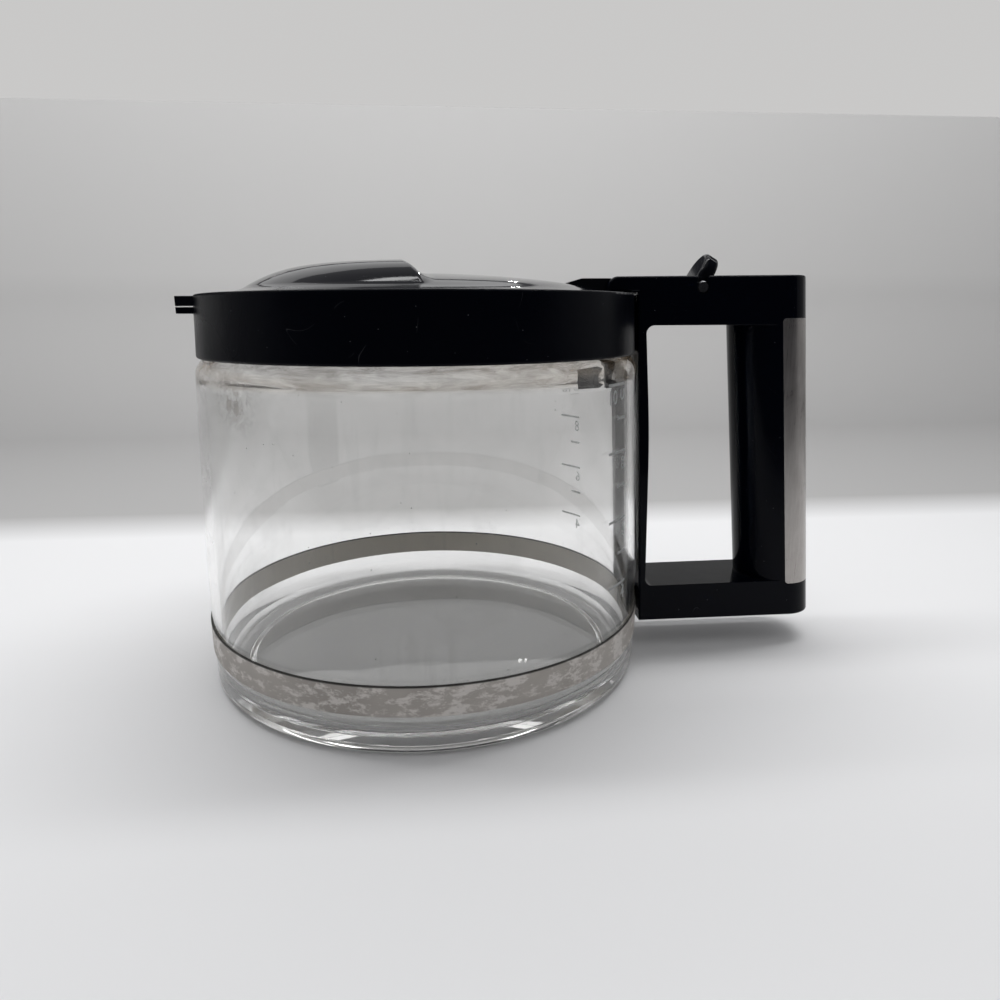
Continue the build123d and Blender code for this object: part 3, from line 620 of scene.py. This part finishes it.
def print_text(maker, text, side, start, z_top, height):
    """Text bent round the glass, start degrees into the strip and reading from outside."""
    curve = bpy.data.curves.new("digits", "FONT")
    curve.body = text
    curve.size = height / CAPITAL_SHARE
    curve.resolution_u = LETTER_STEPS
    holder = bpy.data.objects.new("digits", curve)
    mesh = bpy.data.meshes.new_from_object(holder)
    bpy.data.objects.remove(holder)
    flat = bmesh.new()
    flat.from_mesh(mesh)
    bmesh.ops.triangulate(flat, faces=flat.faces)
    left = min(v.co.x for v in flat.verts)
    right = max(v.co.x for v in flat.verts)
    made = {}
    for v in flat.verts:
        from_handle = (right - v.co.x) if side < 0 else (v.co.x - left)
        z = z_top - height + v.co.y
        angle = side * (STRIP_START[side] + start + from_handle / glass_radius(z) * 180 / pi)
        made[v.index] = maker.verts.new(on_glass(angle, z))
    for face in flat.faces:
        maker.faces.new([made[v.index] for v in face.verts])
    flat.free()
    bpy.data.meshes.remove(mesh)


def print_strip(name, side):
    """One strip of the scale, as a thin coat: side is -1 on the near side and 1 on the far."""
    maker = bmesh.new()
    for cups, z in enumerate(MARK_HEIGHTS, FIRST_CUPS):
        is_long = cups % 2 == 0
        print_mark(maker, side, LONG_MARK if is_long else SHORT_MARK, z)
        if cups == 10:
            print_text(maker, "10", side, TEN_START, z - DIGIT_DROP, DIGIT_HEIGHT)
            print_text(maker, "U", side, CUP_SIGN_START, z - DIGIT_DROP, CUP_SIGN_HEIGHT)
        elif is_long:
            print_text(maker, str(cups), side, DIGIT_START, z - DIGIT_DROP, DIGIT_HEIGHT)
    mesh = mesh_from(maker, "scale_print")
    piece = finished(name, mesh, print_enamel, "jug")
    coat = piece.modifiers.new("coat", "SOLIDIFY")
    coat.thickness = PRINT_COAT * MM
    coat.offset = 0.0


print_strip("scale_print_near", -1)
print_strip("scale_print_far", 1)


# --- floor and backdrop -------------------------------------------------------------------

FLOOR_REACH = 0.30
WALL_DISTANCE = 0.62
WALL_CURVE = 0.14
WALL_TOP = 0.33
CURVE_STEPS = 24
SHEET_HALF_WIDTH = 2.0

# painted shade: the sheet is bright in front of the crease where the floor turns up, and darker
# behind it; it is also darker low on the wall and towards the floor's front edge
FOLD_START = 0.145
FOLD_END = 0.195
SHADE_TOP = 0.16
FRONT_SHADE_START = -0.17
FLOOR_WHITE = (0.80, 0.802, 0.81)
FLOOR_SHADED_EDGE = (0.42, 0.42, 0.42)
WALL_SHADED_FOOT = (0.42, 0.417, 0.415)
WALL_PALE = (0.66, 0.656, 0.65)

sheet_line = [(-FLOOR_REACH, 0.0), (WALL_DISTANCE - WALL_CURVE, 0.0)]
for k in range(1, CURVE_STEPS + 1):
    turn = pi / 2 * k / CURVE_STEPS
    y = WALL_DISTANCE - WALL_CURVE * (1 - sin(turn))
    sheet_line.append((y, WALL_CURVE * (1 - cos(turn))))
sheet_line.append((WALL_DISTANCE, WALL_TOP))

sheet_maker = bmesh.new()
sheet_rows = [
    [sheet_maker.verts.new((x, y, z)) for x in (-SHEET_HALF_WIDTH, SHEET_HALF_WIDTH)]
    for y, z in sheet_line
]
for a, b in zip(sheet_rows, sheet_rows[1:]):
    sheet_maker.faces.new((a[0], a[1], b[1], b[0]))
sheet_mesh = bpy.data.meshes.new("backdrop")
sheet_maker.to_mesh(sheet_mesh)
sheet_maker.free()
for face in sheet_mesh.polygons:
    face.use_smooth = True

paper = Shader("backdrop_paper")
# painted shade: the wall darkens towards its foot, the floor towards its front edge, and the sheet
# behind the crease
shaded_wall_colour = paper.mix(paper.span(paper.axis("Z"), 0.0, SHADE_TOP), WALL_SHADED_FOOT, WALL_PALE)
painted_front_shade = paper.span(paper.axis("Y"), FRONT_SHADE_START, -FLOOR_REACH)
shaded_floor_colour = paper.mix(painted_front_shade, FLOOR_WHITE, FLOOR_SHADED_EDGE)
painted_crease_shade = paper.span(paper.axis("Y"), FOLD_START, FOLD_END)
paper.drive(Base_Color=paper.mix(painted_crease_shade, shaded_floor_colour, shaded_wall_colour))
paper.put(Roughness=0.75, Specular_IOR_Level=0.25)
sheet_mesh.materials.append(paper.material)
backdrop = bpy.data.objects.new("backdrop", sheet_mesh)
scene.collection.objects.link(backdrop)


# --- light --------------------------------------------------------------------------------

BEAD_SIZE = (0.004, 0.003)
BEAD_POWER = 0.004
LID_TOP = (0, 0, 0.121)


def area_light(name, place, aim, size, power):
    """Soft panel of that width and height, which the camera doesn't see."""
    data = bpy.data.lights.new(name, "AREA")
    data.shape = "RECTANGLE"
    data.size, data.size_y = size
    data.energy = power
    lamp = bpy.data.objects.new(name, data)
    lamp.location = place
    lamp.rotation_mode = "QUATERNION"
    lamp.rotation_quaternion = (Vector(aim) - Vector(place)).to_track_quat("-Z", "Y")
    lamp.visible_camera = False
    scene.collection.objects.link(lamp)


area_light("top_light", (0, 0.04, 0.60), (0, 0.02, 0), size=(0.8, 0.07), power=2.4)
area_light("ceiling_light", (0, 0.75, 0.70), (0, 0.30, 0), size=(1.4, 0.7), power=0.55)
area_light("back_light", (0, 0.90, 0.62), (0, 0.30, 0), size=(1.4, 0.35), power=0.9)
area_light("wall_light", (0, 0.36, 0.75), (0, 0.62, 0.34), size=(1.6, 0.1), power=3.2)
area_light("front_light", (0, -0.50, 0.90), (0, -0.06, 0), size=(1.2, 0.7), power=1.2)
for name, x in (("side_light_left", -0.85), ("side_light_right", 0.85)):
    area_light(name, (x, 0.1, 0.38), (0, 0.05, 0.08), size=(0.9, 0.6), power=0.5)
for name, x in (("bead_left", 0.111), ("bead_right", 0.119)):
    area_light(name, (x, 0.60, 0.32), LID_TOP, BEAD_SIZE, BEAD_POWER)

# what lies beyond the sheet, for most rays and then for three special kinds
world = bpy.data.worlds.new("world")
scene.world = world
world.use_nodes = True
world_tree = world.node_tree
path = world_tree.nodes.new("ShaderNodeLightPath")
surround = world_tree.nodes["Background"]
surround.inputs["Color"].default_value = (0.25, 0.25, 0.255, 1.0)
for ray, colour in (
    ("Is Glossy Ray", (0.05, 0.05, 0.055, 1.0)),
    ("Is Transmission Ray", (0.45, 0.45, 0.45, 1.0)),
    ("Is Camera Ray", (0.585, 0.58, 0.575, 1.0)),
):
    shade = world_tree.nodes.new("ShaderNodeBackground")
    shade.inputs["Color"].default_value = colour
    choose = world_tree.nodes.new("ShaderNodeMixShader")
    world_tree.links.new(path.outputs[ray], choose.inputs[0])
    world_tree.links.new(surround.outputs[0], choose.inputs[1])
    world_tree.links.new(shade.outputs[0], choose.inputs[2])
    surround = choose
world_tree.links.new(surround.outputs[0], world_tree.nodes["World Output"].inputs["Surface"])

# light has to pass several walls of glass
scene.cycles.max_bounces = 32
scene.cycles.transmission_bounces = 24
scene.cycles.glossy_bounces = 24
